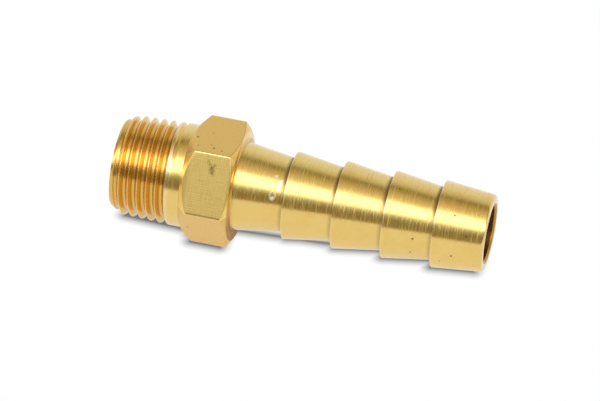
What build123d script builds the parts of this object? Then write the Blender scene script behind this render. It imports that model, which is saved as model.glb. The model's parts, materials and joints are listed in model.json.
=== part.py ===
"""Hose barb tail: a brass pipe fitting turned in one piece from hexagon bar.

One end has a tapered male pipe thread, the middle is the spanner hexagon, and the other end is a
tail of sawtooth barbs that a hose is pushed over. A straight bore runs through it from end to end.

The fitting is built along its own axis: x = 0 is the hexagon's face on the tail side, the tail
points along +X and the thread along -X. The last step lays it down as it comes to rest, on one flat
of the hexagon and on its last barb, with the origin under the middle of it and +Z up. Millimetres.
"""
import math
import os

from build123d import *

# ---- bore -----------------------------------------------------------------------------------
bore_d = 5.7
bore_edge_break = 0.2

# ---- hexagon --------------------------------------------------------------------------------
hex_across_flats = 11.11       # 7/16 inch bar
hex_ridge_length = 3.44        # length of the six ridges between the two end chamfers
tail_face_d = 11.0             # face left by the chamfer on the tail side
tail_chamfer_deg = 30.0        # slope of that chamfer from the face
thread_chamfer_deg = 48.0      # slope of the long chamfer that runs down to the plain land

# ---- plain land between hexagon and thread ------------------------------------------------------
land_d = 10.35
land_length = 1.0

# ---- tapered pipe thread, 27 to the inch --------------------------------------------------------
thread_pitch = 25.4 / 27.0
thread_length = 6.25           # from the end of the fitting to the land
thread_taper = 1.0 / 16.0      # on the diameter
thread_flank_deg = 30.0
thread_depth = 0.6 * thread_pitch
thread_root_flat = 0.27 * thread_pitch
thread_end_d = 8.75            # end face, inside the lead chamfer
lead_chamfer_deg = 30.0
runout_turns = 0.6             # the last groove climbs out of the metal over this many turns
thread_stop_deg = 170.0        # where the groove ends, turned from +Y towards +Z

# ---- barbed tail ----------------------------------------------------------------------------
barb_count = 4
first_crest_x = 5.17
barb_pitch = 5.02
crest_d = 8.8
crest_fall = 0.03              # each crest is this much smaller across than the one before
barb_step = 0.71               # radial height of each sawtooth
crest_flat = 0.1               # narrow land left on top of each crest
step_lean = 0.08               # the back of each tooth leans this far over its height
neck_d = 8.92                  # tail where it leaves the hexagon
tip_d = 7.7
tip_length = 5.1               # from the last crest to the end of the tail
tip_edge_radius = 0.3

# ---- worked out from the sizes above ------------------------------------------------------------
apothem = hex_across_flats / 2.0
corner_r = apothem / math.cos(math.radians(30.0))
tail_chamfer_length = (corner_r - tail_face_d / 2.0) * math.tan(math.radians(tail_chamfer_deg))
ridge_end_x = -tail_chamfer_length
ridge_start_x = ridge_end_x - hex_ridge_length
thread_chamfer_length = (corner_r - land_d / 2.0) / math.tan(math.radians(thread_chamfer_deg))
land_end_x = ridge_start_x - thread_chamfer_length
thread_start_x = land_end_x - land_length
fitting_end_x = thread_start_x - thread_length
tip_x = first_crest_x + (barb_count - 1) * barb_pitch + tip_length


def crest_x(number):
    """Place of a barb's crest, counted from 0 at the hexagon."""
    return first_crest_x + number * barb_pitch


def crest_radius(number):
    return (crest_d - number * crest_fall) / 2.0


def thread_crest_radius(x):
    """Radius of the tapered thread blank, which meets the land at the land's own size."""
    return land_d / 2.0 - (thread_start_x - x) * thread_taper / 2.0


def tail_outline():
    """Points from the neck at the hexagon to the tip, one sawtooth after another."""
    points = [(0.0, neck_d / 2.0)]
    for number in range(barb_count):
        x = crest_x(number)
        r = crest_radius(number)
        points.append((x - step_lean, r - barb_step))
        points.append((x, r))
        points.append((x + crest_flat, r))
    points.append((tip_x, tip_d / 2.0))
    return points


def turned_tail():
    """The barbed tail, with the corner at its tip rounded."""
    outline = [(ridge_end_x, 0.0), (ridge_end_x, neck_d / 2.0)] + tail_outline() + [(tip_x, 0.0)]
    with BuildSketch() as section:
        with BuildLine():
            Polyline(*outline, close=True)
        make_face()
        tip_corner = section.vertices().sort_by_distance((tip_x, tip_d / 2.0))[0]
        fillet(tip_corner, tip_edge_radius)
    return revolve(section.sketch, Axis.X, 360)


def chamfered_hexagon():
    """Hexagon prism with a flat on top, cut by the two cones that the end chamfers lie on.

    The two sloping lines are straight Bezier curves, so that the chamfers meet the flats in splines:
    the hyperbolas that cut lines would give there upset distance measurements.
    """
    with BuildSketch(Plane.YZ.offset(land_end_x)) as section:
        RegularPolygon(corner_r, 6, major_radius=True, rotation=0)
    prism = extrude(section.sketch, -land_end_x)
    land_corner, ridge_start = (land_end_x, land_d / 2.0), (ridge_start_x, corner_r)
    ridge_end, face_corner = (ridge_end_x, corner_r), (0.0, tail_face_d / 2.0)
    with BuildSketch() as limit:
        with BuildLine():
            Line((land_end_x, 0.0), land_corner)
            Bezier(land_corner, ridge_start)
            Line(ridge_start, ridge_end)
            Bezier(ridge_end, face_corner)
            Polyline(face_corner, (0.0, 0.0), (land_end_x, 0.0))
        make_face()
    return prism & revolve(limit.sketch, Axis.X, 360)


def thread_blank():
    """Land, tapered blank and lead chamfer before the thread is cut."""
    end_r = thread_end_d / 2.0
    slope = math.tan(math.radians(lead_chamfer_deg))
    blank_at_end = thread_crest_radius(fitting_end_x)
    chamfer_length = (blank_at_end - end_r) / (slope - thread_taper / 2.0)
    chamfer_x = fitting_end_x + chamfer_length
    outline = [
        (fitting_end_x, 0.0),
        (fitting_end_x, end_r),
        (chamfer_x, thread_crest_radius(chamfer_x)),
        (thread_start_x, land_d / 2.0),
        (land_end_x + thread_pitch / 2.0, land_d / 2.0),
        (land_end_x + thread_pitch / 2.0, 0.0),
    ]
    with BuildSketch() as section:
        with BuildLine():
            Polyline(*outline, close=True)
        make_face()
    return revolve(section.sketch, Axis.X, 360)


# The groove runs in from off the end of the blank up to the land. It is cut in half turns, which
# share their end faces, and counted in turns from the place where it ends.
groove_overshoot = 0.08        # how far the cutter stands out of the blank
groove_turns = thread_length / thread_pitch + 0.75
points_per_half_turn = 10


def groove_edge(from_turn, to_turn, height, shift):
    """One edge of the groove cutter: a right-hand helix at a height over the blank's surface."""
    points = []
    for step in range(points_per_half_turn + 1):
        turn = from_turn + (to_turn - from_turn) * step / points_per_half_turn
        climb = max(0.0, turn + runout_turns) / runout_turns
        x = thread_start_x + turn * thread_pitch
        r = thread_crest_radius(x) + height + climb * (thread_depth + groove_overshoot)
        angle = math.radians(thread_stop_deg) + 2.0 * math.pi * turn
        points.append((x + shift, r * math.cos(angle), r * math.sin(angle)))
    return Spline(*points)


def groove_cutter(from_turn, to_turn):
    """Part of a turn of the groove as a solid between four helical edges."""
    root_half = thread_root_flat / 2.0
    flank = math.tan(math.radians(thread_flank_deg))
    mouth_half = root_half + (thread_depth + groove_overshoot) * flank
    edges = [
        groove_edge(from_turn, to_turn, -thread_depth, -root_half),
        groove_edge(from_turn, to_turn, -thread_depth, root_half),
        groove_edge(from_turn, to_turn, groove_overshoot, mouth_half),
        groove_edge(from_turn, to_turn, groove_overshoot, -mouth_half),
    ]
    sides = [Face.make_surface_from_curves(edges[i], edges[(i + 1) % 4]) for i in range(4)]
    ends = [Face(Wire.make_polygon([edge @ at for edge in edges], close=True)) for at in (0, 1)]
    return Solid(Shell(sides + ends))


def cut_thread(solid):
    """Cut the thread one half turn after another."""
    half_turns = math.ceil(groove_turns / 0.5)
    for number in range(half_turns):
        solid = solid - groove_cutter(-0.5 * (number + 1), -0.5 * number)
    return solid


def bore():
    """Through bore with both mouths broken by a small 45 degree edge."""
    r = bore_d / 2.0
    edge = bore_edge_break
    outline = [
        (fitting_end_x, 0.0),
        (fitting_end_x, r + edge),
        (fitting_end_x + edge, r),
        (tip_x - edge, r),
        (tip_x, r + edge),
        (tip_x, 0.0),
    ]
    with BuildSketch() as section:
        with BuildLine():
            Polyline(*outline, close=True)
        make_face()
    return revolve(section.sketch, Axis.X, 360)


def lay_down(solid):
    """Tip the fitting onto the edge of a hexagon flat and the last barb, and centre it."""
    last_crest = crest_x(barb_count - 1) + crest_flat
    drop = apothem - crest_radius(barb_count - 1)
    tilt = math.degrees(math.atan(drop / (last_crest + flat_end_back)))
    solid = solid.rotate(Axis.Y, tilt)
    box = solid.bounding_box()
    return solid.translate((-box.center().X, -box.center().Y, -box.min.Z)), tilt


# The flat under the hexagon ends where the tail-side chamfer cuts it, this far behind x = 0.
flat_end_back = max(0.0, apothem - tail_face_d / 2.0) * math.tan(math.radians(tail_chamfer_deg))

body = turned_tail() + chamfered_hexagon() + cut_thread(thread_blank())
body = body - bore()
fitting, tilt_deg = lay_down(body)
fitting.label = "hose_barb_tail"

os.makedirs("parts", exist_ok=True)
export_step(fitting, "parts/hose_barb_tail.step")
print(f"tilt {tilt_deg:.3f} deg, axis length {tip_x - fitting_end_x:.2f} mm")
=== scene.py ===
"""Looks of the hose barb tail: a brass pipe fitting turned in one piece from hexagon bar.

The whole fitting is one closed mesh. Geometry Nodes turn the barbed tail, the hexagon and the bore
from rounded outlines, and cut the tapered thread on a lattice that follows its helix.
"""
import json
import math

import bmesh
import bpy
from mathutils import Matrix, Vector


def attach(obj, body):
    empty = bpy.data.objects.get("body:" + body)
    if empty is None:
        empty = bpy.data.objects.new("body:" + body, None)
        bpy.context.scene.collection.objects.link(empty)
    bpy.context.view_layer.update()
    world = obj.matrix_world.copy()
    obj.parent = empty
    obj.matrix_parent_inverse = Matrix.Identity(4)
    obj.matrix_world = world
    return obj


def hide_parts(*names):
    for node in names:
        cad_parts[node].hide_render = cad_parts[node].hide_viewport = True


bl_info = {
    "name": "Hose barb tail",
    "version": (1, 0, 0),
    "blender": (4, 5, 0),
    "location": "3D View > Sidebar > Hose Barb",
    "description": "Builds a turned brass hose barb tail with its studio",
    "category": "Add Mesh",
}

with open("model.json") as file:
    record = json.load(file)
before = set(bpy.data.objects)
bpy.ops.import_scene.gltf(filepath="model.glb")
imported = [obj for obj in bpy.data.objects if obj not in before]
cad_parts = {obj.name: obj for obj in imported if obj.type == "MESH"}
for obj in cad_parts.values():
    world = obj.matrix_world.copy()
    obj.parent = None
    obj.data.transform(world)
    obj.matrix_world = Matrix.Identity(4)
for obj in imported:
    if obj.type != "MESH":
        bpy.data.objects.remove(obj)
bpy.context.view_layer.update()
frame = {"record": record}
NODE = "hose_barb_tail"
BODY = "root"
MM = 0.001
THREAD_PITCH = 25.4 / 27.0
FULL_TURN = 2.0 * math.pi
FLATS = 6
SECTOR = FULL_TURN / FLATS


def mount(name):
    """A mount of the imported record, by its name."""
    return next(m for m in frame["record"]["mounts"] if m["name"] == name)


# The tail's own axis, out of its tip, the middle of its tip, and the bore.
tail_axis = Vector(mount("hose_tail")["axis"])
tail_end = Vector(mount("hose_tail")["pos_m"])
BORE_D = mount("through_bore")["dims"]["r_mm"] * 2.0 * MM


# ---- nodes written as Python -----------------


def both_ways(operation):
    """A Python operator and its reflected form, as a Math node."""
    return (lambda self, other: self.math(operation, self, other),
            lambda self, other: self.math(operation, other, self))


def alone(operation):
    """A method without arguments, as a Math node."""
    return lambda self: self.math(operation, self)


class Wire:
    """A value, vector or colour on its way between two nodes, with Python's operators."""
    __add__, __radd__ = both_ways("ADD")
    __sub__, __rsub__ = both_ways("SUBTRACT")
    __mul__, __rmul__ = both_ways("MULTIPLY")
    __truediv__, __rtruediv__ = both_ways("DIVIDE")
    __mod__, __rmod__ = both_ways("FLOORED_MODULO")
    __gt__, __lt__ = both_ways("GREATER_THAN")
    low, high = both_ways("MINIMUM")[0], both_ways("MAXIMUM")[0]
    abs, floor, round, root = map(alone, ("ABSOLUTE", "FLOOR", "ROUND", "SQRT"))
    sin, cos, tan = map(alone, ("SINE", "COSINE", "TANGENT"))

    def __init__(self, tree, socket):
        self.tree = tree
        self.socket = socket

    def math(self, operation, *values, clamp=False):
        settings = {"operation": operation, "use_clamp": clamp}
        return self.tree.add("ShaderNodeMath", settings, dict(enumerate(values)))

    def __neg__(self):
        return self * -1.0

    def limit(self):
        """Held between 0 and 1."""
        return self.math("ADD", self, 0.0, clamp=True)

    def angle_over(self, other):
        """Angle of a point that is this far up and the other value far over."""
        return self.math("ARCTAN2", self, other)

    def band(self, start, end, low=0.0, high=1.0):
        """Runs smoothly from low to high while this value runs from start to end."""
        settings = {"interpolation_type": "SMOOTHSTEP", "clamp": True}
        values = {"Value": self, "From Min": start, "From Max": end, "To Min": low, "To Max": high}
        return self.tree.add("ShaderNodeMapRange", settings, values)


class Tree:
    """Adds nodes to one node tree, from left to right."""
    NODES_PER_COLUMN = 12
    COLUMN_WIDTH, NODE_HEIGHT = 190.0, 170.0

    def __init__(self, tree):
        self.tree = tree
        self.count = 0

    def place(self, kind, settings=None, values=None):
        """Adds a node: its settings come first, then the values or links of its sockets."""
        node = self.tree.nodes.new(kind)
        column, place = divmod(self.count, self.NODES_PER_COLUMN)
        node.location = (column * self.COLUMN_WIDTH, -place * self.NODE_HEIGHT)
        self.count += 1
        for name, value in (settings or {}).items():
            if name == "stops":
                self.set_stops(node, value)
            else:
                setattr(node, name, value)
        for name, value in (values or {}).items():
            self.feed(node, name, value)
        return node

    def feed(self, node, name, value):
        """Gives a socket, found by its name or its number, a value or a link."""
        if isinstance(name, str):
            socket = next(s for s in node.inputs if s.name == name and s.enabled)
        else:
            socket = node.inputs[name]
        if isinstance(value, Wire):
            self.tree.links.new(value.socket, socket)
        elif value is not None:
            socket.default_value = value

    def set_stops(self, node, stops):
        """Gives a colour ramp its stops, from left to right."""
        ramp = node.color_ramp.elements
        while len(ramp) > 1:
            ramp.remove(ramp[-1])
        ramp[0].position, ramp[0].color = stops[0]
        for place, colour in stops[1:]:
            ramp.new(place).color = colour

    def wire(self, node, name=0):
        """The wire out of a node's output, by its name or its number."""
        if isinstance(name, str):
            return Wire(self, next(s for s in node.outputs if s.name == name and s.enabled))
        return Wire(self, [s for s in node.outputs if s.enabled][name])

    def add(self, kind, settings=None, values=None, output=0):
        """Adds a node and gives the wire out of it."""
        return self.wire(self.place(kind, settings, values), output)

    def vector(self, x, y, z=0.0):
        return self.add("ShaderNodeCombineXYZ", None, {0: x, 1: y, 2: z})

    def parts(self, vector):
        node = self.place("ShaderNodeSeparateXYZ", None, {0: vector})
        return [self.wire(node, i) for i in range(3)]

    def vector_math(self, operation, *values):
        settings = {"operation": operation}
        return self.add("ShaderNodeVectorMath", settings, dict(enumerate(values)))

    def scaled(self, vector, factor):
        values = {0: vector, "Scale": factor}
        return self.add("ShaderNodeVectorMath", {"operation": "SCALE"}, values)

    def blend(self, factor, first, second):
        """Mixes two colours."""
        values = {"Factor": factor, "A": first, "B": second}
        return self.add("ShaderNodeMix", {"data_type": "RGBA"}, values)


def new_group(name):
    """An empty Geometry Nodes tree that gives back a geometry."""
    group = bpy.data.node_groups.new(name, "GeometryNodeTree")
    group.interface.new_socket("Geometry", in_out="OUTPUT", socket_type="NodeSocketGeometry")
    return group


def named_inputs(group, sizes):
    """Adds a float input for each size and gives their wires by name."""
    for name, value in sizes.items():
        socket = group.interface.new_socket(name, in_out="INPUT", socket_type="NodeSocketFloat")
        socket.default_value = value
    tree = Tree(group)
    source = tree.place("NodeGroupInput")
    return tree, {name: tree.wire(source, name) for name in sizes}


def fresh_tree(owner):
    """The emptied node tree of a material or a world."""
    owner.use_nodes = True
    owner.node_tree.nodes.clear()
    return Tree(owner.node_tree)


# ---- sizes -----------------------------------


def length(name, millimetres, about):
    return bpy.props.FloatProperty(name=name, default=millimetres * MM, unit="LENGTH",
                                   description=about, precision=5, min=0.0)


def angle(name, degrees, about):
    return bpy.props.FloatProperty(name=name, default=math.radians(degrees), subtype="ANGLE",
                                   description=about)


def colour(name, value, about):
    return bpy.props.FloatVectorProperty(name=name, default=value, subtype="COLOR", size=3,
                                         min=0.0, max=1.0, description=about)


class HexagonSizes(bpy.types.PropertyGroup):
    """Spanner hexagon and the plain land beside it."""
    across_flats: length("Across flats", 11.11, "Bar size, 7/16 inch")
    ridge_length: length("Ridge length", 3.44, "Length of a ridge between the chamfers")
    tail_face_d: length("Tail face", 11.0, "Diameter left by the chamfer on the tail side")
    tail_chamfer: angle("Tail chamfer", 30.0, "Slope of the tail chamfer from the face")
    thread_chamfer: angle("Thread chamfer", 48.0, "Slope of the long chamfer down to the land")
    land_d: length("Land", 10.35, "Diameter of the plain land beside the thread")
    land_length: length("Land length", 1.0, "Length of the plain land")
    ridge_softness: angle("Ridge softness", 0.55, "How far each ridge is rounded, as an angle")


class ThreadSizes(bpy.types.PropertyGroup):
    """Tapered pipe thread, 27 to the inch."""
    pitch: length("Pitch", THREAD_PITCH, "Distance from one groove to the next")
    thread_length: length("Thread length", 6.25, "From the end of the fitting to the land")
    taper: bpy.props.FloatProperty(name="Taper", default=1.0 / 16.0,
                                   description="Taper on the diameter")
    depth: length("Depth", 0.6 * THREAD_PITCH, "Depth of the groove")
    root_flat: length("Root flat", 0.27 * THREAD_PITCH, "Width of the groove's flat bottom")
    end_d: length("End face", 8.75, "Diameter of the end face inside the lead chamfer")
    lead_chamfer: angle("Lead chamfer", 30.0, "Slope of the chamfer that starts the thread")
    runout_turns: bpy.props.FloatProperty(name="Run-out", default=0.6,
                                          description="Turns over which the last groove climbs out")
    stop: angle("Stop", 170.0, "Where the groove ends, turned from +Y towards +Z")


class TailSizes(bpy.types.PropertyGroup):
    """Sawtooth barbs that a hose is pushed over."""
    barb_count: bpy.props.IntProperty(name="Barbs", default=4, min=1, max=8,
                                      description="Number of barbs")
    first_crest: length("First crest", 5.17, "From the hexagon to the first crest")
    barb_pitch: length("Barb pitch", 5.02, "From one crest to the next")
    crest_d: length("Crest", 8.8, "Diameter over the first crest")
    crest_fall: length("Crest fall", 0.03, "Each crest is this much smaller across")
    step: length("Step", 0.71, "Height of a barb's back")
    crest_flat: length("Crest flat", 0.1, "Narrow land on top of a crest")
    lean: length("Lean", 0.08, "How far a barb's back leans over its height")
    neck_d: length("Neck", 8.92, "Diameter of the tail at the hexagon")
    tip_d: length("Tip", 7.7, "Diameter of the tail at its tip")
    tip_length: length("Tip length", 5.1, "From the last crest to the end of the tail")
    tip_round: length("Tip round", 0.3, "Radius of the rounded corner at the tip")
    edge_break: length("Edge break", 0.2, "Small chamfer at both mouths of the bore")


class FinishColours(bpy.types.PropertyGroup):
    """Colours of the turned brass; some of them also paint shade and highlights."""
    brass: colour("Brass", (0.83, 0.61, 0.185), "Clean turned brass")
    milled: colour("Milled brass", (0.97, 0.73, 0.225), "Brass on the flat with the tool marks")
    warm: colour("Warm brass", (0.81, 0.525, 0.145), "Brass where it has begun to darken")
    # The deep colour also paints shade in the neck's inner corner and on the lower tail-side
    # chamfer.
    deep: colour("Deep brass", (0.80, 0.46, 0.11), "Brass in the thread's grooves")
    # The bore's dark colour is painted shade: it darkens the bore and the lower part of the
    # hexagon's tail face.
    bore: colour("Bore", (0.46, 0.24, 0.05), "Dull brass inside the bore")
    # This dark colour also paints shade in the barbs' valleys and the neck's inner corner.
    dirt_and_shade: colour("Dirt", (0.12, 0.07, 0.025), "Dirt in pits, scratches and corners")
    # This colour also paints highlights on the thread's crests and the tip's end ring. It also adds
    # them, with wear, on the barbs' crests and the hexagon's ridges.
    bright: colour("Bright metal", (0.97, 0.93, 0.80), "Fresh metal in the nick")


PAGES = {"hexagon": HexagonSizes, "thread": ThreadSizes, "tail": TailSizes, "finish": FinishColours}


def sizes_of(page):
    """The settings of one page of the panel."""
    return getattr(bpy.context.scene, "hose_barb_" + page)


# ---- the fitting's geometry ------------------

COLUMNS = 32 * FLATS
ROWS_PER_PITCH = 24.0
WELD = 0.0005 * MM
# How much closer together columns lie at a ridge, and rows at a crest of the thread.
RIDGE_CROWDING = 0.8
CREST_CROWDING = 0.6
# Added before a number is rounded down, so that a whole number stays itself.
NUDGE = 0.0001
POINTS_PER_ROUNDING = 5
POINTS_PER_BARB = 7.0

# Radii of the softened edges, and how far from an edge its supporting points lie.
CREST_ROUND = 0.045 * MM
VALLEY_ROUND = 0.05 * MM
BARB_SUPPORT = 0.13 * MM
MOUTH_ROUND = 0.04 * MM
MOUTH_SUPPORT = 0.1 * MM
TIP_SUPPORTS = (0.5 * MM, 0.3 * MM)
FACE_ROUND = 0.06 * MM
CHAMFER_ROUND = 0.1 * MM
LAND_ROUND = 0.08 * MM
HEXAGON_SUPPORT = 0.16 * MM

# The bore's piece ends on the thread's end face, this many edge breaks outside the bore.
FACE_RING = 1.6
# The thread's piece begins this share of the way along the land, because the last groove runs a
# little way into it.
SEAM_SHARE = 0.35
# How many turns and rows the thread's lattice has to spare, and by how many turns it starts early.
# What lies past either end of the thread is pressed onto that end.
SPARE_TURNS = 3.0
SPARE_ROWS = 3.0
LEAD_TURNS = 2.0
GROOVE_OVERSHOOT = 0.08 * MM
FLANK = math.radians(30.0)


def column_angle(u):
    """Angle of a column, with the columns closer together at the hexagon's ridges."""
    sector = u * FLATS
    inside = sector - sector.floor()
    warp = (inside * FULL_TURN).sin() * (-RIDGE_CROWDING / FULL_TURN)
    return (sector + warp) * SECTOR


def lattice(tree, rows):
    """A grid with its row number, and the angle of its column."""
    across = COLUMNS + 1
    grid = tree.add("GeometryNodeMeshGrid", None,
                    {"Size X": 1.0, "Size Y": 1.0, "Vertices X": rows, "Vertices Y": across})
    number = tree.add("GeometryNodeInputIndex")
    row = (number / across + NUDGE).floor()
    column = number - row * across
    return grid, row, column_angle(column / COLUMNS)


def put(tree, mesh, x, radius, turn):
    """Moves a mesh's points to a place along the axis, a radius and an angle from +Y to +Z."""
    place = tree.vector(x, radius * turn.cos(), radius * turn.sin())
    return tree.add("GeometryNodeSetPosition", None, {"Geometry": mesh, "Position": place})


def outline_group():
    """Turns a rounded outline, given as a curve in the XY plane, round the X axis."""
    group = new_group("Turned section")
    group.interface.new_socket("Outline", in_out="INPUT", socket_type="NodeSocketGeometry")
    tree = Tree(group)
    source = tree.place("NodeGroupInput")
    outline = tree.wire(source, "Outline")
    size = tree.place("GeometryNodeAttributeDomainSize", {"component": "CURVE"},
                      {"Geometry": outline})
    mesh, row, turn = lattice(tree, tree.wire(size, "Point Count"))
    where = tree.add("GeometryNodeInputPosition")
    sampled = tree.add("GeometryNodeSampleIndex", {"data_type": "FLOAT_VECTOR", "domain": "POINT"},
                       {"Geometry": outline, "Value": where, "Index": row})
    x, radius, _ = tree.parts(sampled)
    tree.place("NodeGroupOutput", None, {"Geometry": put(tree, mesh, x, radius, turn)})
    return group


def rounded(tree, count, index, corners, radii):
    """A curve through numbered corners, rounded at a radius that is given for each corner."""
    line = tree.add("GeometryNodeMeshLine", None, {"Count": count})
    picked = []
    for kind, choices in (("VECTOR", corners), ("FLOAT", radii)):
        node = tree.place("GeometryNodeIndexSwitch", {"data_type": kind})
        while len(node.index_switch_items) < len(choices):
            node.index_switch_items.new()
        tree.feed(node, "Index", index)
        for number, choice in enumerate(choices):
            tree.feed(node, number + 1, choice)
        picked.append(tree.wire(node))
    line = tree.add("GeometryNodeSetPosition", None, {"Geometry": line, "Position": picked[0]})
    line = tree.add("GeometryNodeStoreNamedAttribute", {"data_type": "FLOAT", "domain": "POINT"},
                    {"Geometry": line, "Name": "corner_round", "Value": picked[1]})
    curve = tree.add("GeometryNodeMeshToCurve", None, {"Mesh": line})
    own = tree.add("GeometryNodeInputNamedAttribute", {"data_type": "FLOAT"},
                   {"Name": "corner_round"})
    return tree.add("GeometryNodeFilletCurve", {"mode": "POLY"},
                    {"Curve": curve, "Count": POINTS_PER_ROUNDING, "Radius": own,
                     "Limit Radius": True})


def beside(tree, corner, towards, distance):
    """A point near a corner, on the way to another one."""
    way = tree.vector_math("SUBTRACT", towards, corner)
    way = tree.vector_math("NORMALIZE", way)
    return tree.vector_math("ADD", corner, tree.scaled(way, distance))


def turned(tree, group, curve):
    """The mesh that an outline makes when it is turned round the axis."""
    return tree.add("GeometryNodeGroup", {"node_tree": group}, {"Outline": curve})


def turned_corners(tree, group, corners):
    """Turns an outline round the axis.

    Each corner comes with its radius and the distances of the supporting points before and after
    it, which keep the rounding at the edge.
    """
    points, radii = [], []
    for number, (here, radius, before, after) in enumerate(corners):
        if before:
            points.append(beside(tree, here, corners[number - 1][0], before))
            radii.append(0.0)
        points.append(here)
        radii.append(radius)
        if after:
            points.append(beside(tree, here, corners[number + 1][0], after))
            radii.append(0.0)
    index = tree.add("GeometryNodeInputIndex")
    return turned(tree, group, rounded(tree, len(points), index, points, radii))


def crest_of(size, barb):
    """Place and radius of a barb's crest, with the barbs counted from 0 at the hexagon."""
    radius = (size["Crest"] - barb * size["Crest fall"]) * 0.5
    return size["First crest"] + barb * size["Barb pitch"], radius


def barbs(tree, size, group):
    """The neck and all the sawtooth barbs but the tip, one tooth repeated along the axis."""
    number = tree.add("GeometryNodeInputIndex")
    barb = (number / POINTS_PER_BARB + NUDGE).floor()
    place = number - barb * POINTS_PER_BARB
    is_first = barb < 0.5
    crest_x, crest_r = crest_of(size, barb)
    last_x = crest_x - size["Barb pitch"] + size["Crest flat"]
    last_r = crest_r + size["Crest fall"] * 0.5
    from_x = last_x * (1.0 - is_first)
    from_r = is_first * size["Neck"] * 0.5 + (1.0 - is_first) * last_r
    start = tree.vector(from_x, from_r)
    valley = tree.vector(crest_x - size["Lean"], crest_r - size["Step"])
    crest = tree.vector(crest_x, crest_r)
    corners = [
        start,
        beside(tree, start, valley, BARB_SUPPORT),
        beside(tree, valley, start, BARB_SUPPORT),
        valley,
        beside(tree, valley, crest, BARB_SUPPORT),
        beside(tree, crest, valley, BARB_SUPPORT),
        crest,
    ]
    radii = [CREST_ROUND, 0.0, 0.0, VALLEY_ROUND, 0.0, 0.0, CREST_ROUND]
    # The last point is the start of a tooth that isn't there: the end of the last crest's land.
    count = size["Barbs"] * POINTS_PER_BARB + 1.0
    return turned(tree, group, rounded(tree, count, place, corners, radii))


def tip_and_bore(tree, size, group):
    """From the last crest round the tip, through the bore and out to the thread's end face."""
    crest_x, crest_r = crest_of(size, size["Barbs"] - 1.0)
    tip_x, end_x = size["Tip x"], size["End x"]
    bore_r, edge = size["Bore"] * 0.5, size["Edge break"]
    near = MOUTH_SUPPORT
    return turned_corners(tree, group, [
        (tree.vector(crest_x + size["Crest flat"], crest_r), 0.0, None, BARB_SUPPORT),
        (tree.vector(tip_x, size["Tip"] * 0.5), size["Tip round"], *TIP_SUPPORTS),
        (tree.vector(tip_x, bore_r + edge), MOUTH_ROUND, near, near),
        (tree.vector(tip_x - edge, bore_r), MOUTH_ROUND, near, near),
        (tree.vector(end_x + edge, bore_r), MOUTH_ROUND, near, near),
        (tree.vector(end_x, bore_r + edge), MOUTH_ROUND, near, near * 0.6),
        (tree.vector(end_x, bore_r + edge * FACE_RING), 0.0, None, None),
    ])


def from_ridge(turn):
    """Angle between a direction and the hexagon's nearest ridge."""
    return ((turn + SECTOR * 0.5) % SECTOR - SECTOR * 0.5).abs()


def flat_radius(size, turn):
    """Distance from the axis to the hexagon's surface, with its ridges a little rounded."""
    away, softness = from_ridge(turn), size["Ridge softness"]
    from_middle = SECTOR * 0.5 - (away * away + softness * softness).root()
    return size["Across flats"] * 0.5 / from_middle.cos()


def hexagon(tree, size, group):
    """The hexagon with its two chamfers and the plain land.

    Also gives the place where the thread starts and the one where its piece joins this one.
    """
    ridge_r = size["Across flats"] * (0.5 / math.cos(SECTOR * 0.5))
    face_r, land_r = size["Tail face"] * 0.5, size["Land"] * 0.5
    ridge_end = -(ridge_r - face_r) * size["Tail chamfer"].tan()
    ridge_start = ridge_end - size["Ridge length"]
    land_end = ridge_start - (ridge_r - land_r) / size["Thread chamfer"].tan()
    thread_start = land_end - size["Land length"]
    seam = thread_start + size["Land length"] * SEAM_SHARE
    near = HEXAGON_SUPPORT
    mesh = turned_corners(tree, group, [
        (tree.vector(0.0, size["Neck"] * 0.5), 0.0, None, None),
        (tree.vector(0.0, face_r), FACE_ROUND, near, near),
        (tree.vector(ridge_end, ridge_r), CHAMFER_ROUND, near, near),
        (tree.vector(ridge_start, ridge_r), CHAMFER_ROUND, near, near),
        (tree.vector(land_end, land_r), LAND_ROUND, near, near),
        (tree.vector(seam, land_r), 0.0, None, None),
    ])
    # The turned shape follows the ridges. Its points now move in to the flats, along the chamfers.
    x, y, z = tree.parts(tree.add("GeometryNodeInputPosition"))
    radius = (y * y + z * z).root()
    turn = z.angle_over(y)
    surface = flat_radius(size, turn)
    tail_share = (surface - face_r) / (ridge_r - face_r)
    thread_share = (surface - land_r) / (ridge_r - land_r)
    on_tail_side = (x / ridge_end).limit()
    on_thread_side = ((land_end - x) / (land_end - ridge_start)).limit()
    new_radius = radius + (surface - ridge_r) * on_tail_side * on_thread_side
    first = ridge_end * tail_share
    second = land_end + (ridge_start - land_end) * thread_share
    between = ((x - ridge_end) / (ridge_start - ridge_end)).limit()
    new_x = first * on_tail_side + (second - first) * between
    new_x = new_x + (land_end - second) * (1.0 - on_thread_side)
    on_land = (x - land_end).low(0.0)
    return put(tree, mesh, new_x + on_land, new_radius, turn), thread_start, seam


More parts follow.
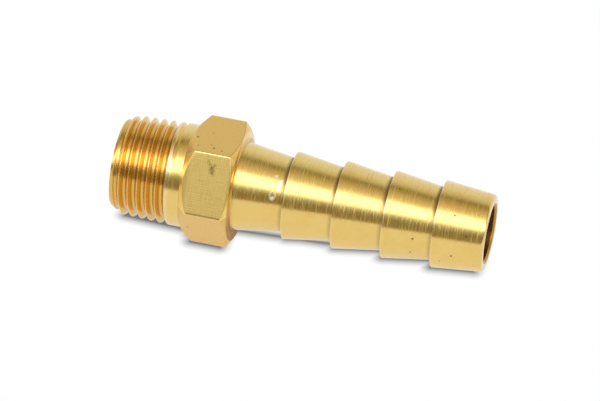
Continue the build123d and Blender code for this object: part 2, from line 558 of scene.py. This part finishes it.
def thread(tree, size, thread_start, seam):
    """The tapered thread on a lattice that follows its helix, and the end face inside it."""
    pitch = size["Pitch"]
    rows = (size["Thread length"] / pitch + SPARE_TURNS) * ROWS_PER_PITCH + SPARE_ROWS
    mesh, row, turn = lattice(tree, rows)
    turned_by = (turn - size["Stop"]) / FULL_TURN
    # Rows lie closer together at the crest, half a pitch away from the middle of the groove.
    step = row / ROWS_PER_PITCH
    warped = step + (step * FULL_TURN).sin() * (CREST_CROWDING / FULL_TURN)
    x = thread_start + (turned_by + LEAD_TURNS - warped) * pitch
    end_x = thread_start - size["Thread length"]
    x = x.low(seam).high(end_x)
    blank = size["Land"] * 0.5 - (thread_start - x).high(0.0) * size["Taper"] * 0.5
    # Which groove is nearest, and how far the tool has climbed out of the metal there.
    here = (x - thread_start) / pitch
    wrapped = turned_by % 1.0 - 1.0
    groove = (here - wrapped).round()
    at_turn = wrapped + groove
    away = ((here - wrapped) - groove).abs() * pitch
    climb = ((at_turn + size["Run-out"]) / size["Run-out"]).high(0.0)
    root = climb * (size["Depth"] + GROOVE_OVERSHOOT) - size["Depth"]
    flank = (away - size["Root flat"] * 0.5).high(0.0) / math.tan(FLANK)
    radius = blank + (root + flank).low(0.0)
    radius = radius.low(size["End face"] * 0.5 + (x - end_x) * size["Lead chamfer"].tan())
    # The last row closes the end face down to the bore's edge.
    is_last = row > (rows.floor() - 1.5)
    inner = size["Bore"] * 0.5 + size["Edge break"] * FACE_RING
    return put(tree, mesh, x, radius * (1.0 - is_last) + is_last * inner, turn)


def fitting_group(sizes):
    """The whole fitting along the X axis, as one closed mesh."""
    group = new_group("Hose barb tail")
    tree, size = named_inputs(group, sizes)
    section = outline_group()
    teeth = barbs(tree, size, section)
    inside = tip_and_bore(tree, size, section)
    body, thread_start, seam = hexagon(tree, size, section)
    screw = thread(tree, size, thread_start, seam)
    join = tree.place("GeometryNodeJoinGeometry")
    for piece in (teeth, inside, body, screw):
        tree.feed(join, 0, piece)
    welded = tree.add("GeometryNodeMergeByDistance", {"mode": "ALL"},
                      {"Geometry": tree.wire(join), "Distance": WELD})
    smooth = tree.add("GeometryNodeSetShadeSmooth", None, {"Geometry": welded})
    turn = tree.vector(0.0, size["Tilt"])
    shift = tree.vector(size["Shift x"], 0.0, size["Shift z"])
    laid = tree.add("GeometryNodeTransform", None,
                    {"Geometry": smooth, "Translation": shift, "Rotation": turn})
    real = tree.add("GeometryNodeRealizeInstances", None, {"Geometry": laid})
    painted = tree.add("GeometryNodeSetMaterial", None,
                       {"Geometry": real, "Material": bpy.data.materials["Turned brass"]})
    tree.place("NodeGroupOutput", None, {"Geometry": painted})
    return group


def fitting_sizes():
    """Every named input of the fitting's tree: the panel's sizes, and what follows from them."""
    sizes = {"Bore": BORE_D}
    for page in ("hexagon", "thread", "tail"):
        settings = sizes_of(page)
        for key in PAGES[page].__annotations__:
            sizes[settings.bl_rna.properties[key].name] = float(getattr(settings, key))
    corner_r = sizes["Across flats"] / 2.0 / math.cos(SECTOR / 2.0)
    ridge_end = -(corner_r - sizes["Tail face"] / 2.0) * math.tan(sizes["Tail chamfer"])
    land_end = (ridge_end - sizes["Ridge length"]
                - (corner_r - sizes["Land"] / 2.0) / math.tan(sizes["Thread chamfer"]))
    last_crest = sizes["First crest"] + (sizes["Barbs"] - 1.0) * sizes["Barb pitch"]
    sizes["End x"] = land_end - sizes["Land length"] - sizes["Thread length"]
    sizes["Tip x"] = last_crest + sizes.pop("Tip length")
    # The fitting is built along the X axis, then tilted and moved to where it lies.
    shift = tail_end - tail_axis * sizes["Tip x"]
    sizes["Tilt"] = math.atan2(-tail_axis.z, tail_axis.x)
    sizes["Shift x"], sizes["Shift z"] = shift.x, shift.z
    return sizes


def plain_mesh(carrier, name):
    """The evaluated result of a Geometry Nodes object as a plain, closed mesh object."""
    graph = bpy.context.evaluated_depsgraph_get()
    mesh = bpy.data.meshes.new_from_object(carrier.evaluated_get(graph), depsgraph=graph)
    mesh.name = name
    bm = bmesh.new()
    bm.from_mesh(mesh)
    bmesh.ops.dissolve_degenerate(bm, dist=WELD, edges=bm.edges)
    bmesh.ops.recalc_face_normals(bm, faces=bm.faces)
    open_edges = sum(1 for e in bm.edges if len(e.link_faces) != 2)
    volume = bm.calc_volume(signed=True)
    bm.to_mesh(mesh)
    bm.free()
    if open_edges or volume <= 0.0:
        raise RuntimeError(f"{name} isn't closed: {open_edges} open edges, volume {volume}")
    piece = bpy.data.objects.new(name, mesh)
    bpy.context.scene.collection.objects.link(piece)
    return piece


# ---- brass -----------------------------------
# Marks are placed in millimetres along the axis, from the hexagon's face on the tail side, and in
# degrees round it, from +Y towards +Z. Masks run from 0 to 1.

# Small pits in the tail: place, angle, radius.
PITS = [
    (22.1, 128.0, 0.11), (23.55, 154.0, 0.12), (22.35, 187.0, 0.11), (21.2, 200.0, 0.08),
    (18.35, 173.0, 0.12), (18.2, 199.0, 0.10), (16.2, 105.0, 0.10), (12.6, 262.0, 0.10),
    (7.9, 318.0, 0.11), (20.4, 24.0, 0.10), (2.2, 244.0, 0.09), (10.9, 64.0, 0.08),
]
# Specks on the hexagon's flats: place, angle, radius.
SPECKS = [
    (-4.35, 99.0, 0.13), (-3.95, 112.0, 0.10), (-2.35, 112.0, 0.14), (-1.5, 114.0, 0.10),
    (-2.7, 108.0, 0.08), (-4.0, 207.0, 0.12), (-3.1, 88.0, 0.07), (-1.1, 327.0, 0.11),
]
# One irregular dent on a flat, as overlapping spots: place, angle, radius.
DENT = [
    (-2.50, 127.0, 0.14), (-2.36, 129.5, 0.16), (-2.24, 132.5, 0.17), (-2.12, 135.5, 0.20),
    (-1.96, 137.5, 0.20), (-1.86, 133.5, 0.15), (-1.84, 129.5, 0.15), (-2.08, 131.5, 0.20),
]
# The bright nick beside the first barb: where the tail's radius is taken for it, then the place,
# angle, radius and softness of its round parts, and the two ends and the width of its streak.
NICK_X = 4.0
NICK = {
    "rim": (3.98, 149.0, 0.38, 0.3), "hollow": (3.98, 147.5, 0.22, 0.4),
    "drop": (3.98, 153.5, 0.20, 0.5), "dot": (4.0, 119.0, 0.14, 0.5),
}
NICK_STREAK = ((4.66, 123.0), (4.34, 140.0), 0.13)
# The flat with the grid of tool marks, counted from +Y towards +Z, and how closely the grid's
# finest lines follow each other, in radians to the millimetre.
GRIPPED_FLAT = 2.0
FINE_LINES = 27.0

# How strongly each mask draws the brass towards the deep colour, the dark colour of grime and
# painted shade, and the bright metal and painted highlights, and what it adds to the roughness and
# to the relief in millimetres.
# The neck's inner corner and the low chamfer are darkened here as painted shade; the grooves get
# the deep colour of their own.
DEEPENED = dict(in_groove=0.58, shaded_neck_corner=0.6, shaded_low_chamfer=0.8)
# The valleys and the neck's inner corner are darkened here as painted shade; top_edge darkens the
# edges of the top flats, and the rest are dirt, tool marks and blemishes.
SOIL_AND_SHADE = dict(
    dark_rings=0.22, grid_dark=0.26, grid_end=0.5, dark_grain=0.4, valley=0.30,
    shaded_top_valley=0.5, shaded_neck_corner=0.15, top_edge=0.3, groove_dirt=0.10, pits=0.8,
    dent=0.8,
)
# The thread's crests and the tip's end ring get painted highlights here, and the barbs' crests and
# the ridges get wear with a painted highlight.
BRIGHT_METAL_AND_HIGHLIGHTS = dict(
    ridge_wear_and_sheen=0.10, crest_wear_and_sheen=0.12, thread_crest_highlight=0.22, end_ring_highlight=0.10,
    grid_light=0.22, nick=0.85,
)
SMOOTHEST = 0.16
ROUGHNESS = dict(
    on_hexagon=0.12, on_grid=0.08, dull_rings=0.26, soil_and_shade=0.2, in_bore=0.10,
    nick=0.25, shaded_low_face=0.4,
)
RELIEF = dict(
    rings=0.0016, drawn=0.0012, grain=0.0025, grid_dark=-0.0030, pits=-0.008,
    dent=-0.006, nick=0.003,
)
COAT = 0.4
COAT_ROUGHNESS = 0.2


def in_millimetres(sizes):
    """The same sizes in millimetres, of which only the lengths are used."""
    return {name: value / MM for name, value in sizes.items()}


def tail_pieces(sizes):
    """Straight parts of the tail's outline: where each starts and ends, and its radii there."""
    mm = in_millimetres(sizes)
    crest_r = mm["Crest"] / 2.0
    root_r = crest_r - mm["Step"]
    crests = [mm["First crest"] + barb * mm["Barb pitch"] for barb in range(int(sizes["Barbs"]))]
    pieces = [(0.0, crests[0], mm["Neck"] / 2.0, root_r)]
    pieces += [(start, end, crest_r, root_r) for start, end in zip(crests, crests[1:])]
    return pieces + [(crests[-1], mm["Tip x"], crest_r, mm["Tip"] / 2.0)]


def surface_radius(sizes, x, degrees):
    """Distance from the axis to a hexagon's flat or to the barbed tail, in millimetres."""
    if x < 0.0:
        from_middle = math.radians(degrees % 60.0 - 30.0)
        return sizes["Across flats"] / MM / 2.0 / math.cos(from_middle)
    start, end, first_r, last_r = next(piece for piece in tail_pieces(sizes) if x <= piece[1])
    return first_r + (last_r - first_r) * (x - start) / (end - start)


def around(x, degrees, radius):
    """The point at a place along the axis, an angle round it and a distance from it."""
    turned_by = math.radians(degrees)
    return (x, radius * math.cos(turned_by), radius * math.sin(turned_by))


def weighed(masks, weights):
    """The sum of the named masks, each times its weight."""
    total = 0.0
    for name, weight in weights.items():
        total = masks[name] * weight + total
    return total


class BrassPattern:
    """Places on the fitting, and the masks for wear, tool marks, grime, painted shade and painted
    highlights that lie there.
    """

    def __init__(self, tree, sizes):
        self.tree = tree
        self.sizes = sizes
        self.mm = in_millimetres(sizes)
        place = tree.add("ShaderNodeTexCoord", output="Object")
        shift = (sizes["Shift x"], 0.0, sizes["Shift z"])
        self.place = tree.add(
            "ShaderNodeMapping", {"vector_type": "TEXTURE"},
            {"Vector": place, "Location": shift, "Rotation": (0.0, sizes["Tilt"], 0.0),
             "Scale": (MM, MM, MM)})
        self.x, self.y, self.z = tree.parts(self.place)
        self.radius = (self.y * self.y + self.z * self.z).root()
        self.turn = self.z.angle_over(self.y)

    def noise(self, x, y, z, detail=2.0, roughness=0.5):
        """Smooth noise from 0 to 1 at a place that is given in noise cells."""
        where = self.tree.vector(x, y, z)
        values = {"Vector": where, "Scale": 1.0, "Detail": detail, "Roughness": roughness}
        return self.tree.add("ShaderNodeTexNoise", None, values)

    def solid_noise(self, scale, detail=2.0, roughness=0.5):
        """Noise with the same scale every way."""
        return self.noise(self.x * scale, self.y * scale, self.z * scale, detail, roughness)

    def ring_noise(self, along, reach, offset, detail, roughness):
        """Noise that meets itself round the fitting: the shorter its reach, the longer its arcs."""
        across = self.turn.cos() * reach + offset
        return self.noise(along, across, self.turn.sin() * reach, detail, roughness)

    def spot(self, x, degrees, radius, size, soft):
        """1 inside a round spot, 0 outside it."""
        centre = around(x, degrees, radius)
        away = self.tree.vector_math("DISTANCE", self.place, centre)
        return away.band(size * (1.0 + soft), size * (1.0 - soft))

    def spots(self, marks, soft=0.5):
        """The sum of some round spots on the surface."""
        total = 0.0
        for x, degrees, size in marks:
            radius = surface_radius(self.sizes, x, degrees)
            total = self.spot(x, degrees, radius, size, soft) + total
        return total

    def streak(self, first, second, width, radius):
        """1 along a straight scratch between two places, 0 away from it."""
        start, end = (Vector(around(*place, radius)) for place in (first, second))
        way = end - start
        from_start = self.tree.vector_math("SUBTRACT", self.place, tuple(start))
        along = self.tree.vector_math("DOT_PRODUCT", from_start, tuple(way / way.length_squared))
        nearest = self.tree.scaled(tuple(way), along.limit())
        away = self.tree.vector_math("DISTANCE", from_start, nearest)
        return away.band(width * 1.4, width * 0.5)

    def regions(self):
        """Parts of the surface that are finished differently, and places where shade or highlights
        are painted.
        """
        x, radius, mm = self.x, self.radius, self.mm
        land_end = mm["End x"] + mm["Thread length"] + mm["Land length"]
        thread_start = land_end - mm["Land length"]
        on_hexagon = x.band(land_end - 0.05, land_end + 0.05) * x.band(0.02, -0.04)
        on_hexagon = on_hexagon * radius.band(5.2, 5.35)
        on_thread = x.band(land_end + 0.02, land_end - 0.02)
        in_thread = x.band(thread_start + 0.05, thread_start - 0.25) * on_thread
        in_bore = radius.band(3.12, 3.0)
        # How far the surface lies under the thread's uncut blank.
        blank = mm["Land"] / 2.0 + (x - thread_start) * (self.sizes["Taper"] * 0.5)
        sunk = (blank - radius).limit() * on_thread * (1.0 - in_bore)
        on_face = x.abs().band(0.07, 0.03) * radius.band(4.38, 4.45)
        return dict(
            on_hexagon=on_hexagon,
            on_turned=(1.0 - on_hexagon).limit(),
            in_bore=in_bore,
            in_groove=sunk.band(0.01, 0.09) * in_thread,
            # Painted highlight along the thread's crests.
            thread_crest_highlight=sunk.band(0.05, 0.0) * in_thread,
            groove_dirt=sunk.band(0.15, 0.50) * x.band(mm["End x"] + 0.02, mm["End x"] + 0.1),
            on_face=on_face,
            # Painted shade on the lower part of the hexagon's tail face.
            shaded_low_face=on_face * self.z.band(1.5, -2.5),
            # Painted shade on the lower part of the tail-side chamfer.
            shaded_low_chamfer=x.band(-0.6, -0.3) * self.z.band(-2.4, -4.2) * radius.band(4.6, 5.0),
            # Painted highlight: a thin bright ring on the tip's end face.
            end_ring_highlight=x.band(mm["Tip x"] - 0.14, mm["Tip x"] - 0.04) * (1.0 - in_bore),
        )

    def turning_rings(self, on_turned):
        """Rings left by the turning tool, fine ones over broad ones, broken up round the axis."""
        x, turn = self.x, self.turn
        wander = self.noise(turn.cos() * 1.3, turn.sin() * 1.3, x * 0.4) - 0.5
        fine = self.ring_noise(x * 13.0 + wander * 1.5, 0.35, 0.0, 2.0, 0.6)
        broad = self.ring_noise(x * 4.6 + wander, 0.6, 7.0, 3.0, 0.65)
        short = self.ring_noise(x * 9.0, 2.6, 3.0, 2.0, 0.6)
        on_ringed = on_turned * (x.band(0.02, 0.12) + x.band(-0.9, -1.1)).limit()
        # They show most on the upper front of the tail, and only faintly round the rest.
        upper = (turn - math.radians(112.0)).abs().band(0.95, 0.74)
        dark = broad.band(0.58, 0.75) + short.band(0.60, 0.74) * 0.8
        dull = fine.band(0.50, 0.72) * 0.6 + short.band(0.48, 0.70) * 0.7
        height = (fine - 0.5) * 0.55 + (broad - 0.5) * 0.75
        return dict(
            dark_rings=dark * on_ringed * upper,
            dull_rings=dull * on_ringed * (upper * 0.8 + 0.2),
            rings=height * on_ringed * (upper * 0.75 + 0.25),
        )

    def flat_marks(self, on_hexagon):
        """Drawn and worn marks on the hexagon's flats, wear with a painted highlight on its ridges,
        and a grid of tool marks on one flat.
        """
        x = self.x
        round_once = self.turn + FULL_TURN
        across = (round_once % SECTOR - SECTOR * 0.5).tan() * (self.mm["Across flats"] / 2.0)
        flat = (round_once / SECTOR).floor() % FLATS
        is_gripped = (1.0 - (flat - GRIPPED_FLAT).abs()).limit()

        def flat_noise(along, over, step, start, detail, roughness=0.5):
            """Noise with its own cells along and over a flat, and its own pattern on each flat."""
            return self.noise(x * along, across * over, flat * step + start, detail, roughness)

        strands = flat_noise(6.8, 0.5, 3.0, 0.0, 2.0, 0.6)
        bars = flat_noise(0.45, 6.4, 5.0, 11.0, 2.0, 0.6)
        patchy = flat_noise(0.6, 0.6, 9.0, 4.0, 1.0)
        drawn = flat_noise(0.25, 6.0, 4.0, 21.0, 3.0, 0.6) - 0.5
        grain = flat_noise(3.2, 3.2, 7.0, 31.0, 3.0, 0.7) - 0.5
        inside_grid = across.abs().band(3.12, 2.95) * x.band(-4.6, -4.1) * x.band(-0.18, -0.35)
        on_grid = is_gripped * on_hexagon * inside_grid
        coarse = (strands.band(0.50, 0.70) + bars.band(0.50, 0.70)).limit()
        light = (strands.band(0.46, 0.30) * bars.band(0.50, 0.34)).limit()
        fine = ((x * FINE_LINES + strands * 5.0).sin() * 0.25
                + (across * FINE_LINES + bars * 5.0).sin() * 0.25)
        dark = coarse * 0.6 + (fine + 0.2).high(0.0) * 1.1
        # The grid ends at the lower ridge in one thin line.
        grid_end = is_gripped * on_hexagon * (across - 3.02).abs().band(0.09, 0.03)
        grid_end = grid_end * x.band(-4.0, -3.8) * x.band(-0.45, -0.6)
        return dict(
            is_gripped=is_gripped,
            on_grid=on_grid,
            grid_dark=on_grid * dark * patchy.band(0.2, 0.55, 0.5, 1.0),
            grid_light=on_grid * light,
            grid_end=grid_end,
            drawn=drawn * on_hexagon,
            grain=grain * on_hexagon,
            dark_grain=(grain * on_hexagon).high(0.0),
            # Wear and a painted highlight along the ridges.
            ridge_wear_and_sheen=from_ridge(round_once).band(0.026, 0.008) * on_hexagon,
        )

    def corners(self, on_hexagon):
        """Crests with wear and a painted highlight, painted shade in the valleys and the neck's
        inner corner, and darker edges along the top flats.
        """
        x, radius, mm = self.x, self.radius, self.mm
        barb = ((x - mm["First crest"]) / mm["Barb pitch"]).round()
        crest_x, crest_r = crest_of(mm, barb.high(0.0).low(self.sizes["Barbs"] - 1.0))
        from_crest = x - crest_x
        near_crest = radius.band(3.3, 3.5) * from_crest.band(-0.05, 0.0) * from_crest.band(0.2, 0.1)
        # Painted shade in each barb's valley, darker towards the top.
        valley = from_crest.band(-0.62, -0.20) * from_crest.band(0.0, -0.05)
        valley = valley * (crest_r - radius).band(0.42, 0.60) * radius.band(3.0, 3.2)
        # How far the surface lies inside the cone of the tail chamfer.
        slope = 1.0 / math.tan(self.sizes["Tail chamfer"])
        inside_cone = mm["Tail face"] / 2.0 - x * slope - radius
        flat_edge = inside_cone.band(0.16, 0.09) * inside_cone.band(0.01, 0.05) * on_hexagon
        top_side = (self.turn - math.radians(95.0)).abs().band(0.9, 0.5)
        return dict(
            # Wear and a painted highlight along the barbs' crests.
            crest_wear_and_sheen=near_crest * (radius - crest_r).band(-0.10, -0.03),
            valley=valley,
            shaded_top_valley=valley * top_side,
            # Painted shade in the inner corner where the neck meets the hexagon's face.
            shaded_neck_corner=x.band(0.4, 0.05) * x.band(-0.02, 0.0) * radius.band(5.1, 4.7),
            top_edge=flat_edge * top_side,
        )

    def blemishes(self):
        """Pits, specks, the dent and the nick beside the first barb."""
        broken = self.solid_noise(5.0).band(0.30, 0.52, 0.35, 1.0)
        nick_r = surface_radius(self.sizes, NICK_X, 0.0)
        part = {name: self.spot(x, degrees, nick_r, size, soft)
                for name, (x, degrees, size, soft) in NICK.items()}
        rim = (part["rim"] - part["hollow"]).high(0.0) * 0.55
        scratch = rim + self.streak(*NICK_STREAK, nick_r) * 0.8 + part["drop"] * 0.8
        return dict(
            pits=(self.spots(PITS) + self.spots(SPECKS) * 0.7).limit(),
            dent=(self.spots(DENT, 0.9) * 0.6).limit() * broken,
            nick=(scratch * broken + part["dot"] * 0.7).limit(),
        )


def brass_material(sizes):
    """Turned brass with its tool marks, wear and grime, and with painted shade and highlights."""
    finish = sizes_of("finish")
    material = bpy.data.materials.new("Turned brass")
    tree = fresh_tree(material)
    at = BrassPattern(tree, sizes)
    masks = at.regions()
    on_hexagon = masks["on_hexagon"]
    masks.update(at.turning_rings(masks["on_turned"]))
    masks.update(at.flat_marks(on_hexagon))
    masks.update(at.corners(on_hexagon))
    masks.update(at.blemishes())
    # The soil mask mixes dirt and tool marks with painted shade in the valleys and the neck's inner
    # corner.
    masks["soil_and_shade"] = weighed(masks, SOIL_AND_SHADE).limit()
    soil_and_shade, in_bore, shaded_low_face = masks["soil_and_shade"], masks["in_bore"], masks["shaded_low_face"]
    is_gripped = masks["is_gripped"]

    patches, mottle = at.solid_noise(0.35), at.solid_noise(1.1, 3.0, 0.7)
    layers = [
        (patches.band(0.35, 0.7) * 0.3 + mottle.band(0.45, 0.65) * 0.3, finish.warm),
        (on_hexagon * (1.0 - is_gripped) * 0.9, finish.warm),
        (on_hexagon * is_gripped, finish.milled),
        # The deep colour: the grooves, and painted shade in the neck's corner and on the low
        # chamfer.
        (weighed(masks, DEEPENED).limit(), finish.deep),
        # Painted shade in the bore and on the lower part of the hexagon's tail face.
        ((in_bore + shaded_low_face).limit() * 0.95, finish.bore),
        # Dirt and tool marks, with painted shade in the valleys and the neck's corner.
        (soil_and_shade, finish.dirt_and_shade),
        # Bright metal in the nick and tool marks, and painted highlights on crests, ridges and the
        # tip's end ring.
        (weighed(masks, BRIGHT_METAL_AND_HIGHLIGHTS).limit(), finish.bright),
    ]
    brass = (*finish.brass, 1.0)
    for mask, tint in layers:
        brass = tree.blend(mask, brass, (*tint, 1.0))

    bump = tree.add("ShaderNodeBump", None,
                    {"Strength": 1.0, "Distance": MM, "Height": weighed(masks, RELIEF)})
    bare = in_bore + masks["in_groove"] + on_hexagon + masks["on_face"] + soil_and_shade * 1.5
    # The painted shade on the lower tail face is also made less metallic and rougher.
    shader = tree.add("ShaderNodeBsdfPrincipled", None, {
        "Base Color": brass, "Metallic": 1.0 - shaded_low_face * 0.8,
        "Roughness": (weighed(masks, ROUGHNESS) + SMOOTHEST).limit(), "Normal": bump,
        "Coat Weight": (1.0 - bare).limit() * COAT, "Coat Roughness": COAT_ROUGHNESS})
    tree.place("ShaderNodeOutputMaterial", None, {"Surface": shader})
    return material


# ---- studio ----------------------------------

# The shadow on the floor: how far it reaches and how far it leans along the fitting in
# millimetres, how dark it gets, and the slope of the light that it follows.
SHADOW_REACH = 1.45
SHADOW_LEAN = 0.5
SHADOW_DEPTH = 0.82
LIGHT_SLOPE = math.radians(35.6)

FLOOR_HALF = 3.0
FLOOR_DROP = 0.02 * MM
WHITE = (1.0, 1.0, 1.0, 1.0)
MATT_FLOOR = (0.88, 0.88, 0.88, 1.0)
FLOOR_GLOW = 0.95
FLOOR_IN_BRASS = 0.7

# Brightness of the studio round the fitting, by the angle up from the horizon on the camera's side
# and over to the back: a dark room, a softbox, a dim ceiling and a bright backdrop.
ROOM = [
    (0.0, (0.34, 0.24, 0.12)), (8.0, (0.30, 0.24, 0.14)), (20.0, (0.28, 0.26, 0.18)),
    (28.0, (0.38, 0.38, 0.33)), (35.0, (0.72, 0.78, 0.86)), (41.0, (1.75, 1.80, 2.00)),
    (46.0, (2.75, 2.65, 2.90)), (66.5, (2.75, 2.65, 2.90)), (74.0, (1.12, 1.05, 0.95)),
    (81.0, (0.83, 0.73, 0.60)), (97.0, (0.60, 0.50, 0.36)), (106.0, (0.42, 0.37, 0.22)),
    (114.0, (0.30, 0.26, 0.14)), (121.0, (0.48, 0.45, 0.36)), (130.0, (0.72, 0.71, 0.70)),
    (150.0, (0.88, 0.89, 0.96)), (180.0, (0.90, 0.94, 1.05)),
]
ROOM_PEAK = 3.0

CAMERA_PLACE = (0.07934751, -0.31194682, 0.23493226)
CAMERA_DEGREES = (54.4393, 0.2598, 14.1558)
CAMERA_LENS = 240.0
CAMERA_SENSOR = 36.0
CAMERA_CLIP = (0.01, 10.0)


def outline_pieces(sizes):
    """Parts of the fitting's outline: two places along the axis, a radius at each, and a limit."""
    mm = in_millimetres(sizes)
    corner_r = mm["Across flats"] / 2.0 / math.cos(SECTOR / 2.0)
    land_r, crest_r = mm["Land"] / 2.0, mm["Crest"] / 2.0
    pieces = [(*piece, crest_r) for piece in tail_pieces(sizes)]
    # The ends are drawn in a little, because the shadow's own reach goes past them.
    start, end, first_r, last_r, _ = pieces.pop()
    pieces.append((start, end - 0.9, first_r, last_r + 0.15, crest_r))
    land_start = mm["End x"] + mm["Thread length"] + mm["Land length"]
    chamfer = (corner_r - land_r) / math.tan(sizes["Thread chamfer"])
    pieces.append((land_start + 0.7, land_start + chamfer, land_r + 0.6, corner_r, corner_r / 2.0))
    pieces.append((land_start + chamfer, -0.9, corner_r, corner_r, corner_r / 2.0))
    thread_r = land_r - mm["Thread length"] * sizes["Taper"] / 2.0
    pieces.append((mm["End x"] + 0.8, land_start, thread_r + 0.2, land_r + 0.2, land_r))
    return pieces


def contact_shadow(tree, sizes):
    """Brightness of the floor: a narrow shadow that follows the outline of what stands over it."""
    place = tree.add("ShaderNodeTexCoord", output="Object")
    x, y, _ = tree.parts(place)
    tip_x = sizes["Tip x"] / MM
    x = (x / MM - tail_end.x / MM) / math.cos(sizes["Tilt"]) + tip_x + SHADOW_LEAN
    y = (y / MM).abs()
    height = (tip_x - x) * math.tan(sizes["Tilt"]) + tail_end.z / MM
    seen_height = height * math.cos(LIGHT_SLOPE)
    nearest = SHADOW_REACH
    for start, end, first_r, last_r, widest in outline_pieces(sizes):
        share = ((x - start) / (end - start)).limit()
        radius = share * (last_r - first_r) + first_r
        half_width = (radius - seen_height) / math.sin(LIGHT_SLOPE)
        out_sideways = (y - half_width.low(widest).high(0.0)).high(0.0)
        out_endways = (x - end).high(start - x).high(0.0)
        away = (out_sideways * out_sideways + out_endways * out_endways).root()
        nearest = away.low(nearest)
    left = 1.0 - nearest / SHADOW_REACH
    return 1.0 - left * left.root() * SHADOW_DEPTH


def floor_material(sizes):
    """Pale floor: white with a narrow shadow to the camera, plain and pale in the brass."""
    material = bpy.data.materials.new("Pale floor")
    tree = fresh_tree(material)
    shade = contact_shadow(tree, sizes)
    tint = tree.vector(shade, shade, shade)
    seen_floor = tree.add("ShaderNodeEmission", None, {"Color": tint, "Strength": 1.0})
    matt = tree.add("ShaderNodeBsdfDiffuse", None, {"Color": MATT_FLOOR})
    glow = tree.add("ShaderNodeEmission", None, {"Color": WHITE, "Strength": FLOOR_GLOW})
    seen = tree.place("ShaderNodeLightPath")
    in_brass = tree.wire(seen, "Is Glossy Ray") + tree.wire(seen, "Is Transmission Ray")
    in_brass = (in_brass * FLOOR_IN_BRASS).limit()
    mixed = tree.add("ShaderNodeMixShader", None, {0: in_brass, 1: matt, 2: glow})
    camera_ray = tree.wire(seen, "Is Camera Ray")
    mixed = tree.add("ShaderNodeMixShader", None, {0: camera_ray, 1: mixed, 2: seen_floor})
    tree.place("ShaderNodeOutputMaterial", None, {"Surface": mixed})
    return material


def studio_world():
    """Soft bands of light round the fitting, with white behind it for the camera."""
    world = bpy.data.worlds.new("Studio")
    bpy.context.scene.world = world
    tree = fresh_tree(world)
    way = tree.add("ShaderNodeTexCoord", output="Generated")
    _, y, z = tree.parts(way)
    share = z.angle_over(-y).high(0.0) / math.pi
    stops = [(degrees / 180.0, (*(c / ROOM_PEAK for c in tint), 1.0)) for degrees, tint in ROOM]
    ramp = tree.add("ShaderNodeValToRGB", {"stops": stops}, {"Fac": share})
    room = tree.add("ShaderNodeBackground", None, {"Color": ramp, "Strength": ROOM_PEAK})
    white = tree.add("ShaderNodeBackground", None, {"Color": WHITE, "Strength": 1.0})
    seen = tree.add("ShaderNodeLightPath", output="Is Camera Ray")
    mixed = tree.add("ShaderNodeMixShader", None, {0: seen, 1: room, 2: white})
    tree.place("ShaderNodeOutputWorld", None, {"Surface": mixed})


def add_camera():
    """A long lens, looking down on the fitting from in front."""
    data = bpy.data.cameras.new("Camera")
    data.sensor_fit = "HORIZONTAL"
    data.sensor_width = CAMERA_SENSOR
    data.lens = CAMERA_LENS
    data.clip_start, data.clip_end = CAMERA_CLIP
    camera = bpy.data.objects.new("Camera", data)
    camera.location = CAMERA_PLACE
    camera.rotation_euler = [math.radians(degrees) for degrees in CAMERA_DEGREES]
    bpy.context.scene.collection.objects.link(camera)
    bpy.context.scene.camera = camera


# ---- operators -------------------------------


class MakeFitting(bpy.types.Operator):
    """Build the turned brass fitting as one closed mesh"""
    bl_idname = "hose_barb.make_fitting"
    bl_label = "Brass fitting"

    def execute(self, context):
        sizes = fitting_sizes()
        brass_material(sizes)
        mesh = bpy.data.meshes.new("fitting_carrier")
        carrier = bpy.data.objects.new("fitting_carrier", mesh)
        context.scene.collection.objects.link(carrier)
        nodes = carrier.modifiers.new("Hose barb tail", "NODES")
        nodes.node_group = fitting_group(sizes)
        for item in nodes.node_group.interface.items_tree:
            if item.item_type == "SOCKET" and item.in_out == "INPUT":
                nodes[item.identifier] = sizes[item.name]
        piece = plain_mesh(carrier, "brass_fitting")
        bpy.data.objects.remove(carrier)
        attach(piece, BODY)
        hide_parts(NODE)
        return {"FINISHED"}


class MakeStudio(bpy.types.Operator):
    """Build the pale floor, the soft light round it and the camera"""
    bl_idname = "hose_barb.make_studio"
    bl_label = "Studio"

    def execute(self, context):
        bm = bmesh.new()
        bmesh.ops.create_grid(bm, x_segments=1, y_segments=1, size=FLOOR_HALF)
        mesh = bpy.data.meshes.new("pale_floor")
        bm.to_mesh(mesh)
        bm.free()
        floor = bpy.data.objects.new("pale_floor", mesh)
        floor.location.z = -FLOOR_DROP
        mesh.materials.append(floor_material(fitting_sizes()))
        context.scene.collection.objects.link(floor)
        studio_world()
        add_camera()
        context.scene.view_settings.view_transform = "Standard"
        return {"FINISHED"}


class HoseBarbPanel(bpy.types.Panel):
    """Sizes and colours of the hose barb tail, and the buttons that build it"""
    bl_idname = "VIEW3D_PT_hose_barb"
    bl_label = "Hose barb tail"
    bl_space_type = "VIEW_3D"
    bl_region_type = "UI"
    bl_category = "Hose Barb"

    def draw(self, context):
        for page, group in PAGES.items():
            box = self.layout.box()
            box.label(text=page.capitalize())
            for name in group.__annotations__:
                box.prop(sizes_of(page), name)
        for operator in OPERATORS:
            self.layout.operator(operator.bl_idname)


OPERATORS = (MakeFitting, MakeStudio)
CLASSES = (*PAGES.values(), *OPERATORS, HoseBarbPanel)


def register():
    for kind in CLASSES:
        bpy.utils.register_class(kind)
    for page, group in PAGES.items():
        setattr(bpy.types.Scene, "hose_barb_" + page, bpy.props.PointerProperty(type=group))


def unregister():
    for page in PAGES:
        delattr(bpy.types.Scene, "hose_barb_" + page)
    for kind in reversed(CLASSES):
        bpy.utils.unregister_class(kind)


def main():
    """Registers the add-on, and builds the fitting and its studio."""
    register()
    bpy.ops.hose_barb.make_fitting()
    bpy.ops.hose_barb.make_studio()


if __name__ == "__main__":
    main()
